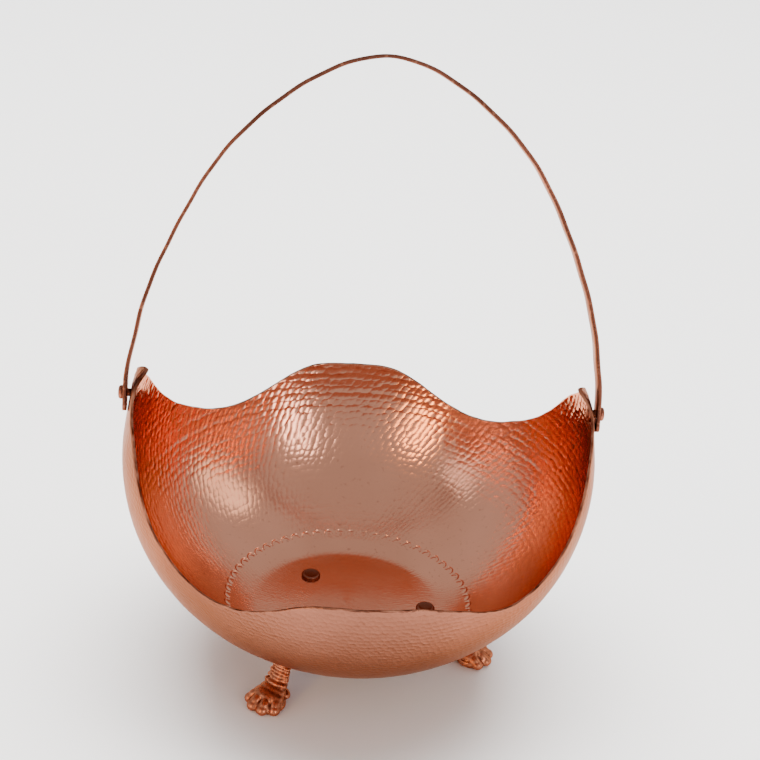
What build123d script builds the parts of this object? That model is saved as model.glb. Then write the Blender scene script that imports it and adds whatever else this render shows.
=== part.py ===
from build123d import *
from math import cos, radians, sin, tan
import os

# A raised and planished copper basket: a round bowl whose rim rises into two ears and two low
# lobes, a flat strap handle that swings on two rivets through the ears, and three cast paw feet,
# each held by one rivet through the floor.
# Millimetres, +Z up. The origin is on the ground under the middle of the bowl. The ears and the
# handle's pivot line lie along X; the two lobes face -Y and +Y.

os.makedirs("parts", exist_ok=True)

# Bowl
sheet = 1.2               # copper sheet
stand_height = 27.4       # ground to the underside of the floor
bowl_radius = 125.0       # widest part of the belly, outside face
# The outside of the wall above the flat floor, as arcs: share of the bowl radius and degrees
knuckle = (0.125, 25.0)
shoulder = (1.157, 10.5)
belly = (0.831, 54.5)
brow = (0.84, 8.0)
curl = (0.128, 60.0)
# Heights above the underside of the floor, as shares of the bowl radius
ear_share = 1.169         # tip of an ear
lobe_share = 0.707        # flat top of a lobe
dip_share = 0.5745        # lowest part of the rim

# Ring of crescent punch marks round the floor
punch_share = 0.33        # how far along the shoulder the ring stands
punch_count = 62
punch_radius = 2.9        # radius of one crescent
punch_line = 1.1          # breadth of its stroke
punch_depth = 0.3

# Handle
pivot_below_curl = 2.7    # pivot line to where the ears begin to roll inwards
strap_width = 12.0
strap_thickness = 2.0
strap_standoff = 1.6      # sheet to strap, measured at the pivots
strap_tail = 9.5          # strap below the pivot line
strap_straight = 6.0      # straight part above the pivot line
arch_height = 180.0       # pivot line to the middle of the strap at the top
arch_skew = 3.6           # how far the top of the arch stands towards +X
handle_lean = 19.5        # degrees back from upright, towards +Y
pivot_clearance = 0.08    # radial, strap hole on rivet shank

# Pivot rivets
pivot_shank_radius = 2.1
pivot_head_radius = 3.6
pivot_head_height = 2.4
pivot_side_play = 0.3     # strap to head, along the pivot line
washer_radius = 4.3
washer_thickness = 1.3    # on the pivot line
peen_radius = 2.9
peen_height = 1.1

# Feet: degrees round from +X, the rivet's distance from the middle as a share of the bowl radius,
# and how far the toes are turned from straight outwards
foot_places = [
    ("right", 1.5, 0.348, -13.5),
    ("front_left", -129.0, 0.308, 0.0),
    ("back_left", 125.0, 0.284, 0.0),
]
foot_reach = 41.0         # rivet to the front of the toes
foot_pad_radius = 7.0
foot_pad_thickness = 2.6
ankle_width = 10.0
ankle_front = 21.0        # rivet to the front of the ankle
ankle_back = 12.5
paw_width = 23.0
paw_height = 9.5
heel = 17.0               # rivet to the back of the sole
rib_thickness = 4.4
toe_radius = 3.5
foot_shank_radius = 2.6
foot_head_radius = 5.3
foot_head_height = 2.0
foot_peen_radius = 4.0
foot_peen_height = 1.2

# Shape of the rim: degrees round from an ear, and share of the way from the dip to its top
ear_shares = [(0, 1.0), (10, 0.84), (20, 0.635), (32, 0.277), (40, 0.115), (48, 0.016)]
lobe_shares = [(55, -0.05), (64, 0.16), (72, 0.61), (78, 0.92), (82, 1.0), (90, 1.0)]
# The dip at the front right is cut shallower by these shares of a lobe's height over a dip
shallow_shares = {48: 0.09, 55: 0.21, 64: 0.36, 72: 0.22, 78: 0.06}
# Shape of the arch: share of the half spread and of the height above the pivots
arch_shares = [
    (0.985, 0.12), (0.957, 0.235), (0.874, 0.41), (0.724, 0.63), (0.53, 0.804), (0.27, 0.94)
]

ear_height = ear_share * bowl_radius
lobe_height = lobe_share * bowl_radius
dip_height = dip_share * bowl_radius
rim_top = stand_height + ear_height
curl_start = rim_top - 0.7 * curl[0] * bowl_radius
pivot_z = curl_start - pivot_below_curl


def arc_from(line, shape, inset):
    """The next arc of the wall, carrying on smoothly; inset moves it towards the inside."""
    return JernArc(line @ 1, line % 1, shape[0] * bowl_radius - inset, shape[1])


def wall_lines(inset):
    """The wall in (radius, height), from the middle of the floor to above the ears."""
    reach = 0
    turned = 0
    for share, angle in (knuckle, shoulder, belly):
        reach += share * bowl_radius * (sin(radians(turned + angle)) - sin(radians(turned)))
        turned += angle
    floor_edge = Line((0, stand_height + inset), (bowl_radius - reach, stand_height + inset))
    knuckle_arc = arc_from(floor_edge, knuckle, inset)
    shoulder_arc = arc_from(knuckle_arc, shoulder, inset)
    belly_arc = arc_from(shoulder_arc, belly, inset)
    brow_arc = arc_from(belly_arc, brow, inset)
    band_end = curl_start - inset * sin(radians(brow[1]))
    band_run = (band_end - (brow_arc @ 1).Y) / cos(radians(brow[1]))
    band = Line(brow_arc @ 1, brow_arc @ 1 + (brow_arc % 1) * band_run)
    curl_arc = arc_from(band, curl, inset)
    return floor_edge, knuckle_arc, shoulder_arc, belly_arc, brow_arc, band, curl_arc


def rim_loop(radius):
    """Closed curve at the height of the rim, at one distance from the middle."""
    quarter = [(angle, dip_height + share * (ear_height - dip_height)) for angle, share in ear_shares]
    quarter += [
        (angle, dip_height + share * (lobe_height - dip_height)) for angle, share in lobe_shares
    ]
    half = quarter + [(180 - angle, height) for angle, height in reversed(quarter[:-1])]
    shallow = {a: share * (lobe_height - dip_height) for a, share in shallow_shares.items()}
    whole = half + [(360 - a, height + shallow.get(a, 0)) for a, height in reversed(half[1:-1])]
    points = [
        Vector(radius * cos(radians(a)), radius * sin(radians(a)), stand_height + h)
        for a, h in whole
    ]
    turns = [angle / 360 for angle, _ in whole] + [1.0]
    return Edge.make_spline(points, periodic=True, parameters=turns)


# Bowl -----------------------------------------------------------------------------------------

outside = wall_lines(0)
inside = wall_lines(sheet)
band = outside[5]
ear_x = (band @ 1).X + (curl_start - pivot_z) * tan(radians(brow[1]))
rim_surface = Face.make_surface_from_curves(
    rim_loop(0.6 * bowl_radius), rim_loop(1.2 * bowl_radius)
)
punch_at = inside[2] @ punch_share
punch_along = inside[2] % punch_share
punch_plane = Plane(
    origin=(punch_at.X, 0, punch_at.Y),
    x_dir=(punch_along.X, 0, punch_along.Y),
    z_dir=(-punch_along.Y, 0, punch_along.X),
)

with BuildPart() as punch:
    with BuildSketch(punch_plane):
        Circle(punch_radius)
        Circle(punch_radius - punch_line, mode=Mode.SUBTRACT)
        with Locations((-punch_radius, 0)):
            Rectangle(2 * punch_radius, 3 * punch_radius, mode=Mode.SUBTRACT)
    extrude(amount=punch_depth, both=True)

with BuildPart() as cavity:
    with BuildSketch(Plane.XZ):
        with BuildLine():
            add(inside)
            middle_top = (0, (inside[-1] @ 1).Y)
            Line(inside[-1] @ 1, middle_top)
            Line(middle_top, inside[0] @ 0)
        make_face()
    revolve(axis=Axis.Z)

with BuildPart() as bowl:
    with BuildSketch(Plane.XZ):
        with BuildLine():
            add(outside)
            add(inside)
            Line(outside[-1] @ 1, inside[-1] @ 1)
            Line(outside[0] @ 0, inside[0] @ 0)
        make_face()
    revolve(axis=Axis.Z)
    extrude(rim_surface, amount=2 * ear_height, dir=(0, 0, 1), mode=Mode.SUBTRACT)
    with Locations((0, 0, pivot_z)):
        Cylinder(pivot_shank_radius, 3 * bowl_radius, rotation=(0, 90, 0), mode=Mode.SUBTRACT)
    for _, azimuth, share, _ in foot_places:
        with PolarLocations(share * bowl_radius, 1, azimuth):
            Cylinder(foot_shank_radius, 4 * stand_height, mode=Mode.SUBTRACT)
    with PolarLocations(0, punch_count):
        add(punch.part, mode=Mode.SUBTRACT)

# Handle ---------------------------------------------------------------------------------------

lean = radians(handle_lean)
handle_plane = Plane(origin=(0, 0, pivot_z), x_dir=(1, 0, 0), z_dir=(0, -cos(lean), sin(lean)))
strap_x = ear_x + strap_standoff + strap_thickness / 2


def arch_point(side, share):
    """A point of the strap's middle line: side is -1 or 1, share is one of arch_shares."""
    out, up = share
    return (side * strap_x * out + arch_skew * up, arch_height * up)


with BuildPart() as handle:
    with BuildSketch(handle_plane):
        with BuildLine() as strap_line:
            left_leg = Line((-strap_x, -strap_tail), (-strap_x, strap_straight))
            right_leg = Line((strap_x, strap_straight), (strap_x, -strap_tail))
            Spline(
                left_leg @ 1,
                *[arch_point(-1, share) for share in arch_shares],
                (arch_skew, arch_height),
                *[arch_point(1, share) for share in reversed(arch_shares)],
                right_leg @ 0,
                tangents=[(0, 1), (0, -1)],
            )
        trace(line_width=strap_thickness)
    extrude(amount=strap_width / 2, both=True)
    tail_corners = handle.edges().filter_by(Axis.X)
    fillet(tail_corners, radius=0.36 * strap_width)
    with Locations((0, 0, pivot_z)):
        Cylinder(
            pivot_shank_radius + pivot_clearance,
            3 * bowl_radius,
            rotation=(0, 90, 0),
            mode=Mode.SUBTRACT,
        )

# Pivot rivets and washers ---------------------------------------------------------------------

washer_face = ear_x - sheet - washer_thickness
head_face = strap_x + strap_thickness / 2 + pivot_side_play

with BuildPart() as pivot_rivet:
    with BuildSketch(Plane.XZ):
        with BuildLine():
            Polyline(
                (washer_face - peen_height, pivot_z),
                (washer_face - peen_height, pivot_z + peen_radius),
                (washer_face, pivot_z + peen_radius),
                (washer_face, pivot_z + pivot_shank_radius),
                (head_face, pivot_z + pivot_shank_radius),
                (head_face, pivot_z + pivot_head_radius),
                (head_face + pivot_head_height, pivot_z + pivot_head_radius),
                (head_face + pivot_head_height, pivot_z),
                close=True,
            )
        make_face()
    revolve(axis=Axis((0, 0, pivot_z), (1, 0, 0)))
    fillet(pivot_rivet.edges().group_by(Axis.X)[-1], radius=0.55 * pivot_head_height)
    fillet(pivot_rivet.edges().group_by(Axis.X)[0], radius=0.7 * peen_height)

with BuildPart() as pivot_washer:
    with Locations((washer_face, 0, pivot_z)):
        Cylinder(
            washer_radius,
            2 * washer_thickness + sheet,
            rotation=(0, 90, 0),
            align=(Align.CENTER, Align.CENTER, Align.MIN),
        )
    add(cavity.part, mode=Mode.INTERSECT)
    with Locations((0, 0, pivot_z)):
        Cylinder(pivot_shank_radius, 3 * bowl_radius, rotation=(0, 90, 0), mode=Mode.SUBTRACT)

# Feet -----------------------------------------------------------------------------------------

# Each foot is built with its rivet on the Z axis and its toes towards +X.
ankle_top = stand_height - foot_pad_thickness / 2
paw_middle = foot_reach - paw_width / 2

with BuildPart() as foot:
    with BuildSketch(Plane.XZ) as side_view:
        with BuildLine():
            toe_tip = (foot_reach, 0.25 * paw_height)
            instep = (ankle_front, 1.15 * paw_height)
            ankle_crown = (ankle_front - 1.5, ankle_top)
            front_curve = Spline(
                ankle_crown,
                instep,
                (paw_middle + 1.0, 0.88 * paw_height),
                toe_tip,
                tangents=[(0, -1), (0, -1)],
            )
            Polyline(toe_tip, (foot_reach - 1.0, 0), (heel, 0), (heel - 1.0, 1.0))
            back_curve = Spline(
                (heel - 1.0, 1.0),
                (ankle_back + 1.5, 0.8 * paw_height),
                (ankle_back - 1.5, ankle_top),
                tangents=[(-0.4, 1), (-0.2, 1)],
            )
            Line(back_curve @ 1, ankle_crown)
        make_face()
    extrude(amount=paw_width, both=True)
    with BuildSketch(Plane.XY) as plan_view:
        with BuildLine():
            fan = [
                (ankle_back - 4.0, 0.42 * ankle_width),
                (ankle_front - 2.0, 0.5 * ankle_width),
                (paw_middle - 0.2 * paw_width, 0.33 * paw_width),
                (paw_middle + 0.08 * paw_width, 0.44 * paw_width),
                (paw_middle + 0.32 * paw_width, 0.31 * paw_width),
                (foot_reach - 0.5 * toe_radius, 0),
            ]
            fan_side = Spline(*fan, tangents=[(1, 0), (0, -1)])
            mirror(fan_side, about=Plane.XZ)
            Line(fan_side @ 0, ((fan_side @ 0).X, -(fan_side @ 0).Y))
        make_face()
    extrude(amount=stand_height, mode=Mode.INTERSECT)
    with BuildSketch(Plane.YZ) as front_view:
        with BuildLine():
            flare = Spline(
                (0.5 * paw_width, 0),
                (0.5 * paw_width, 0.55 * paw_height),
                (0.5 * ankle_width + 0.8, 1.35 * paw_height),
                (0.5 * ankle_width, stand_height),
                tangents=[(0, 1), (0, 1)],
            )
            mirror(flare, about=Plane.YZ)
            Line(flare @ 0, (-(flare @ 0).X, 0))
            Line(flare @ 1, (-(flare @ 1).X, stand_height))
        make_face()
    extrude(amount=2 * foot_reach, mode=Mode.INTERSECT)
    for turn in (-64, -21, 21, 64):
        toe_x = paw_middle + (foot_reach - toe_radius - paw_middle) * cos(radians(turn))
        toe_y = (0.5 * paw_width - toe_radius) * sin(radians(turn)) / sin(radians(64))
        with Locations((toe_x, toe_y, 0.9 * toe_radius)):
            Sphere(toe_radius)
    with BuildSketch(Plane.XZ) as rib_view:
        with BuildLine():
            Polyline(
                (foot_peen_radius + 0.8, ankle_top),
                (foot_peen_radius + 1.6, stand_height - 2.2 * foot_pad_thickness),
                (ankle_back, 0.62 * stand_height - foot_pad_thickness),
                (ankle_front - 2.0, 0.45 * stand_height),
                (ankle_front - 2.0, ankle_top),
                close=True,
            )
        make_face()
    extrude(amount=rib_thickness / 2, both=True)
    with BuildSketch(Plane.XY.offset(stand_height - foot_pad_thickness)):
        Circle(foot_pad_radius)
        with Locations((ankle_front / 2, 0)):
            Rectangle(ankle_front - 3.0, ankle_width + 1.0)
    extrude(amount=foot_pad_thickness)
    with BuildSketch(Plane.XY):
        Circle(2 * foot_reach)
    extrude(amount=-2 * toe_radius, mode=Mode.SUBTRACT)
    Cylinder(foot_shank_radius, 4 * stand_height, mode=Mode.SUBTRACT)

pad_under = stand_height - foot_pad_thickness
floor_top = stand_height + sheet

with BuildPart() as foot_rivet:
    with BuildSketch(Plane.XZ):
        with BuildLine():
            Polyline(
                (0, pad_under - foot_peen_height),
                (0.6 * foot_peen_radius, pad_under - foot_peen_height),
                (foot_peen_radius, pad_under - 0.4 * foot_peen_height),
                (foot_peen_radius, pad_under),
                (foot_shank_radius, pad_under),
                (foot_shank_radius, floor_top),
                (foot_head_radius, floor_top),
                (foot_head_radius, floor_top + 0.5 * foot_head_height),
                (0.78 * foot_head_radius, floor_top + foot_head_height),
                (0, floor_top + foot_head_height),
                close=True,
            )
        make_face()
    revolve(axis=Axis.Z)

# Naming and export ----------------------------------------------------------------------------

pieces = {"bowl": bowl.part, "handle": handle.part}
for side, turn in (("right", 0), ("left", 180)):
    pieces[side + "_pivot_rivet"] = Rot(0, 0, turn) * pivot_rivet.part
    pieces[side + "_pivot_washer"] = Rot(0, 0, turn) * pivot_washer.part
for place, azimuth, share, toe_turn in foot_places:
    stance = Rot(0, 0, azimuth) * Pos(share * bowl_radius, 0, 0) * Rot(0, 0, toe_turn)
    pieces[place + "_foot"] = stance * foot.part
    pieces[place + "_foot_rivet"] = stance * foot_rivet.part

for name, piece in pieces.items():
    piece.label = name
    export_step(piece, f"parts/{name}.step")
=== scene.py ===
"""Planished copper basket: a hammered bowl with a scalloped rim, a strap handle on two rivets and
three cast paw feet. Every piece rides on a body of the frame."""
from math import cos, pi, radians, sin

import bmesh
import bpy
import numpy as np
from mathutils import Matrix, Vector


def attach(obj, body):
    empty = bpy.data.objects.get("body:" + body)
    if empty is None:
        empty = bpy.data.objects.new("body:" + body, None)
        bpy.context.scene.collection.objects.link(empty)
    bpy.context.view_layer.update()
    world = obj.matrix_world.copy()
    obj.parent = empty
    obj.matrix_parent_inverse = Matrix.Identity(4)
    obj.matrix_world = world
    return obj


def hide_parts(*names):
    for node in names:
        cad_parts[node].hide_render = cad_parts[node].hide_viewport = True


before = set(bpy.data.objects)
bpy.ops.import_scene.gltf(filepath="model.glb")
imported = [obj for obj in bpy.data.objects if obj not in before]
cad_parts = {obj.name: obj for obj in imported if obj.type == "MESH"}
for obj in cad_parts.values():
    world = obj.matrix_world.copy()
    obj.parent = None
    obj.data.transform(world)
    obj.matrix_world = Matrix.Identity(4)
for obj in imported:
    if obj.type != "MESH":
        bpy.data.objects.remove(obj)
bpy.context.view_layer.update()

bl_info = {
    "name": "Planished Copper Basket",
    "version": (1, 0, 0),
    "blender": (4, 5, 0),
    "location": "3D View > Sidebar > Copper Basket",
    "description": "Builds a planished copper basket with a swinging handle and cast feet",
    "category": "Add Mesh",
}

MM = 0.001

# Outside of the wall above the flat floor, as arcs: share of the bowl radius and degrees
KNUCKLE = (0.125, 25.0)
SHOULDER = (1.157, 10.5)
BELLY = (0.831, 54.5)
BROW = (0.84, 8.0)
CURL = (0.128, 60.0)

# Rim: degrees round from an ear, and share of the way from the dip up to the ear or the lobe
EAR_SHARES = [(0, 1.0), (10, 0.84), (20, 0.635), (32, 0.277), (40, 0.115), (48, 0.016)]
LOBE_SHARES = [(55, -0.05), (64, 0.16), (72, 0.61), (78, 0.92), (82, 1.0), (90, 1.0)]
# The dip at the front right is shallower by these shares of a lobe's height over a dip
SHALLOW_SHARES = {48: 0.09, 55: 0.21, 64: 0.36, 72: 0.22, 78: 0.06}

# Arch of the handle: share of the half spread and of the height above the pivots
ARCH_SHARES = [
    (0.985, 0.12), (0.957, 0.235), (0.874, 0.41), (0.724, 0.63), (0.53, 0.804), (0.27, 0.94)
]

# Feet: name, degrees round from +X, the rivet's distance from the middle as a share of the bowl
# radius, and how far the toes are turned from straight outwards
FOOT_PLACES = [
    ("right", 1.5, 0.348, -13.5),
    ("front_left", -129.0, 0.308, 0.0),
    ("back_left", 125.0, 0.284, 0.0),
]

# Height of the curl, as a share of the curl's own radius
CURL_RISE = 0.7
# Steps in the table of the wall: along each arc and along the straight band
ARC_STEPS = 40
BAND_STEPS = 8

# Hammer marks, as shares of a mark's width or of the gap between rows
ROW_GAP = 0.86
ROW_WANDER = 0.34
MARK_WANDER = 0.62
MARK_LIFT = 0.5
MARK_STEEPNESS = 2.6
MARK_LIMIT = 1.5
OUTSIDE_MARK = 0.8

# Where along the wall each kind of unevenness fades in, measured from the middle of the floor.
# Depths are shares of the hammer depth, but those of the spin lines and dents are in metres
FIRST_MARKS, FIRST_DEPTH = (0.080, 0.1), 0.12
WALL_MARKS, WALL_DEPTH = (0.088, 0.135), 0.33
RIM_MARKS, RIM_DEPTH = (0.15, 0.185), 0.55
OUTSIDE_MARKS, OUTSIDE_DEPTH = (0.06, 0.09), 0.45
SPIN_LINES, SPIN_GAP, SPIN_DEPTH = (0.086, 0.1), 0.0061, 0.00004
DENTS, DENT_DEPTH = (0.055, 0.10), 0.00028

# Ring of crescents: how far up the shoulder it lies, the stroke's middle as a share of the punch
# radius, where the stroke fades out, and how deep it shows on each face
PUNCH_SHARE = 0.33
PUNCH_MIDDLE = 0.81
PUNCH_STROKE = (0.0003, 0.0008)
PUNCH_HALF = 0.0006
PUNCH_INSIDE, PUNCH_OUTSIDE = 1.6, 0.55

# Rows of the bowl's mesh: even round the bowl up to a height over the stand, then following
# the rim; each stretch is (start, end, rows), with None for the end of the even rows
EVEN_HEIGHT = 0.062
INNER_ROWS = [(0.004, 0.0652, 9), (0.0657, 0.0722, 17), (0.0745, None, 29)]
OUTER_ROWS = [(0.004, 0.066, 9), (0.071, None, 17)]
INNER_RIM_ROWS, OUTER_RIM_ROWS = 56, 16
# The rim's rounded edge: its height as a share of the sheet, and rows across it with their drop
LIP_SHARE = 0.25
LIP_ROWS = [(0.22, 0.4), (0.5, 0.25), (0.78, 0.4)]

# Handle: places of the strap on the pivots, rounding of its ends as a share of its width,
# softness of its long edges, and where the hammering of the arch fades in from either end
PIVOT_BELOW_CURL = 2.7 * MM
STRAP_STANDOFF = 1.6 * MM
STRAP_TAIL = 9.5 * MM
STRAP_STRAIGHT = 6.0 * MM
STRAP_CORNER = 0.36
STRAP_SOFTNESS = 0.35 * MM
STRAP_WAVER = (0.016, 0.03)
TAIL_STEPS = 34
ARCH_STEPS = 330

# Pivot rivets and their washers, in millimetres: (radius, height) from the face that each
# outline starts on
SHANK_RADIUS = 2.1 * MM
SHANK_CLEARANCE = 0.08 * MM
WASHER_THICKNESS = 1.3 * MM
HEAD_GAP = 0.3 * MM
PEENED_END = [(0, -1.05), (0.9, -1.0), (1.7, -0.8), (2.4, -0.66), (2.8, -0.3), (2.9, 0)]
DOMED_HEAD = [
    (3.45, 0), (3.6, 0.2), (3.6, 1.1), (3.35, 1.65), (2.8, 2.05), (1.62, 2.3), (0, 2.38)
]
WASHER = [(0, 0.25), (2.1, 0.02), (3.4, 0.03), (4.1, 0.2), (4.3, 0.55), (4.3, 1.5), (0, 1.5)]

# Foot rivets, in millimetres: the end under the pad, and the flat-topped head on the floor
RIVET_END = [(0, -1.15), (2.2, -1.1), (3.4, -0.85), (4.0, -0.4), (4.0, 0), (2.6, 0)]
RIVET_HEAD = [
    (2.6, 0), (5.2, 0), (5.3, 0.25), (5.25, 1.1), (4.9, 1.6), (4.4, 1.85), (3.9, 1.93),
    (3.6, 1.78), (1.8, 1.74), (0, 1.7),
]

# Cast paw, in millimetres, toes towards +X. Lumps of the leg from the pad down to the instep:
# place along X, height, and half sizes; the leg is drawn for CAST_STAND and stretched to the
# stand, except for what lies below the instep
PAD_RADIUS = 7.0
PAD_THICKNESS = 2.6
CAST_STAND = 24.8
INSTEP = 9
LEG = [
    (6.5, 23.2, 4.0, 4.6, 1.6), (10.5, 22.6, 4.6, 5.0, 2.2), (14.2, 20.6, 4.6, 5.0, 3.6),
    (16.4, 17.6, 4.2, 4.9, 3.6), (17.6, 14.6, 4.2, 5.0, 3.6), (19.0, 11.8, 4.6, 5.4, 3.6),
    (21.4, 9.2, 5.2, 6.4, 3.8), (24.6, 7.0, 6.2, 8.0, 4.4), (28.0, 5.4, 7.2, 9.4, 4.6),
]
TOE_TURNS = (-64, -21, 21, 64)
TOE_ROOT, TOE_REACH = 29.5, 8.0
LOCK_PLACES = [(19.6, 19.6), (20.8, 16.6), (22.0, 13.6), (24.0, 11.2)]
LOCK_SIDES = (-1, -0.33, 0.33, 1)
PAW_VOXEL = 0.42 * MM
# Fur lines scored into the ankle and grooves between the toes, in metres and radians
FUR_FROM, FUR_TO = (0.0095, 0.013), (0.0205, 0.0215)
FUR_GAP, FUR_DEPTH = 0.00155, 0.00022
ANKLE_X, TOE_FAN_X = 0.0165, 0.0235
TOES_FROM, TOES_UP_TO = (0.026, 0.031), (0.0070, 0.0095)
GROOVE_TURN, GROOVE_DEPTH, GROOVE_RISE = 0.52, 0.0007, (0.001, 0.003)

# Tint of the copper's reflections at a glancing view
GLANCING_TINT = (0.88, 0.58, 0.46, 1.0)

# Studio: camera, backdrop and lights; a light is its name, place, width, height, power, colour
CAMERA_PLACE = (-0.0534, -0.8951, 0.6689)
CAMERA_AHEAD = (0.0599, 0.8735, -0.4831)
CAMERA_UP = (-0.0471, 0.4859, 0.8727)
FOCAL_LENGTH = 93.17
SENSOR_WIDTH = 36.0
FLOOR_REACH = 6.0
FLOOR_DROP = 0.0002
WORLD_COLOUR = (0.95, 0.96, 1.0, 1.0)
WORLD_STRENGTH = 0.66
UNMIRRORED_LIGHT = "top_softbox"
LIGHTS = [
    (UNMIRRORED_LIGHT, (0.0, 0.5, 2.4), 2.6, 2.6, 240.0, (1.0, 0.99, 0.97)),
    ("left_softbox", (-1.5, -0.5, 0.8), 0.5, 0.9, 2.0, (1.0, 0.94, 0.9)),
    ("right_softbox", (1.4, 0.1, 0.9), 0.4, 0.9, 2.0, (1.0, 0.88, 0.7)),
    ("golden_strip", (-1.1, -1.45, 0.66), 0.2, 1.25, 11.0, (1.0, 0.54, 0.16)),
    ("pale_strip", (0.95, -1.4, 0.66), 0.18, 1.25, 7.0, (1.0, 0.9, 0.84)),
]
LIGHT_AIM = (0.0, 0.0, 0.1)


class BasketSizes(bpy.types.PropertyGroup):
    """Sizes of the basket, in metres."""

    bowl_radius: bpy.props.FloatProperty(
        name="Bowl radius", description="Widest part of the belly, outside face",
        default=0.125, min=0.05, unit="LENGTH",
    )
    sheet: bpy.props.FloatProperty(
        name="Sheet", description="Thickness of the copper sheet",
        default=0.0012, min=0.0005, unit="LENGTH",
    )
    stand: bpy.props.FloatProperty(
        name="Stand", description="Ground to the underside of the floor",
        default=0.0274, min=0.005, unit="LENGTH",
    )
    ear: bpy.props.FloatProperty(
        name="Ear height", description="Underside of the floor up to the tip of an ear",
        default=0.146125, min=0.02, unit="LENGTH",
    )
    lobe: bpy.props.FloatProperty(
        name="Lobe height", description="Underside of the floor up to the top of a lobe",
        default=0.088375, min=0.02, unit="LENGTH",
    )
    dip: bpy.props.FloatProperty(
        name="Dip height", description="Underside of the floor up to the lowest of the rim",
        default=0.0718125, min=0.02, unit="LENGTH",
    )
    blow: bpy.props.FloatProperty(
        name="Hammer mark", description="Width of one planishing mark",
        default=0.0052, min=0.002, unit="LENGTH",
    )
    blow_depth: bpy.props.FloatProperty(
        name="Hammer depth", description="Depth of the marks near the rim",
        default=0.00016, min=0.0, unit="LENGTH",
    )
    punch_radius: bpy.props.FloatProperty(
        name="Punch mark", description="Radius of one crescent in the ring round the floor",
        default=0.0029, min=0.001, unit="LENGTH",
    )
    punch_depth: bpy.props.FloatProperty(
        name="Punch depth", description="Depth of a crescent mark",
        default=0.0003, min=0.0, unit="LENGTH",
    )
    punch_count: bpy.props.IntProperty(
        name="Punch marks", description="Crescents in the ring round the floor", default=62, min=8,
    )
    strap_width: bpy.props.FloatProperty(
        name="Strap width", description="Width of the handle strap",
        default=0.012, min=0.004, unit="LENGTH",
    )
    strap_thickness: bpy.props.FloatProperty(
        name="Strap thickness", description="Thickness of the handle strap",
        default=0.002, min=0.0008, unit="LENGTH",
    )
    arch: bpy.props.FloatProperty(
        name="Arch height", description="Pivot line to the middle of the strap at its top",
        default=0.18, min=0.05, unit="LENGTH",
    )
    arch_skew: bpy.props.FloatProperty(
        name="Arch skew", description="How far the top of the arch stands to the right",
        default=0.0036, unit="LENGTH",
    )
    lean: bpy.props.FloatProperty(
        name="Lean", description="How far the handle leans back from upright",
        default=radians(19.5), subtype="ANGLE", unit="ROTATION",
    )


class BasketColours(bpy.types.PropertyGroup):
    """Colours of the copper finishes."""

    bright: bpy.props.FloatVectorProperty(
        name="Bright copper", description="Planished sheet where it is cleanest",
        subtype="COLOR", size=3, min=0, max=1, default=(0.82, 0.365, 0.232),
    )
    warm: bpy.props.FloatVectorProperty(
        name="Warm copper", description="Planished sheet where it has toned",
        subtype="COLOR", size=3, min=0, max=1, default=(0.72, 0.315, 0.195),
    )
    # Painted shade: the outside copper is the same copper as the inside, made much darker so that
    # its reflection of the bright floor comes out dim
    outside: bpy.props.FloatVectorProperty(
        name="Outside copper", description="Shaded sheet on the outside of the bowl",
        subtype="COLOR", size=3, min=0, max=1, default=(0.29, 0.112, 0.07),
    )
    strap: bpy.props.FloatVectorProperty(
        name="Strap copper", description="Brown tone of the handle",
        subtype="COLOR", size=3, min=0, max=1, default=(0.15, 0.052, 0.032),
    )
    cast: bpy.props.FloatVectorProperty(
        name="Cast copper", description="High points of the feet",
        subtype="COLOR", size=3, min=0, max=1, default=(0.60, 0.20, 0.10),
    )
    recess: bpy.props.FloatVectorProperty(
        name="Recess", description="Dark tone left in the hollows and on cut edges",
        subtype="COLOR", size=3, min=0, max=1, default=(0.12, 0.03, 0.015),
    )


# Shape of the wall ----------------------------------------------------------------------------


def curl_foot(sizes):
    """Height at which the wall starts to curl over at the rim."""
    return sizes.stand + sizes.ear - CURL_RISE * CURL[0] * sizes.bowl_radius


def wall_table(sizes):
    """Fine table of the outside of the wall: length along it, radius, height and slope."""
    radius = sizes.bowl_radius
    reach = 0.0
    turned = 0.0
    for share, angle in (KNUCKLE, SHOULDER, BELLY):
        reach += share * radius * (sin(radians(turned + angle)) - sin(radians(turned)))
        turned += angle
    length = [np.array([0.0, radius - reach])]
    out = [np.array([0.0, radius - reach])]
    up = [np.array([sizes.stand, sizes.stand])]
    slope = [np.array([0.0, 0.0])]

    def add_arc(share, angle):
        start = slope[-1][-1]
        turn = np.linspace(0, radians(angle), ARC_STEPS + 1)[1:]
        length.append(length[-1][-1] + share * radius * turn)
        out.append(out[-1][-1] + share * radius * (np.sin(start + turn) - sin(start)))
        up.append(up[-1][-1] + share * radius * (cos(start) - np.cos(start + turn)))
        slope.append(start + turn)

    for share, angle in (KNUCKLE, SHOULDER, BELLY, BROW):
        add_arc(share, angle)
    lean = slope[-1][-1]
    run = (curl_foot(sizes) - up[-1][-1]) / sin(lean)
    steps = np.linspace(0, run, BAND_STEPS + 1)[1:]
    length.append(length[-1][-1] + steps)
    out.append(out[-1][-1] + steps * cos(lean))
    up.append(up[-1][-1] + steps * sin(lean))
    slope.append(np.full(BAND_STEPS, lean))
    add_arc(*CURL)
    return [np.concatenate(column) for column in (length, out, up, slope)]


def wall_at(table, along, inset=0.0):
    """Radius, height and slope at a length along the wall, moved inwards by inset."""
    length, out, up, slope = table
    tilt = np.interp(along, length, slope)
    radius = np.interp(along, length, out) - inset * np.sin(tilt)
    height = np.interp(along, length, up) + inset * np.cos(tilt)
    return radius, height, tilt


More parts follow.
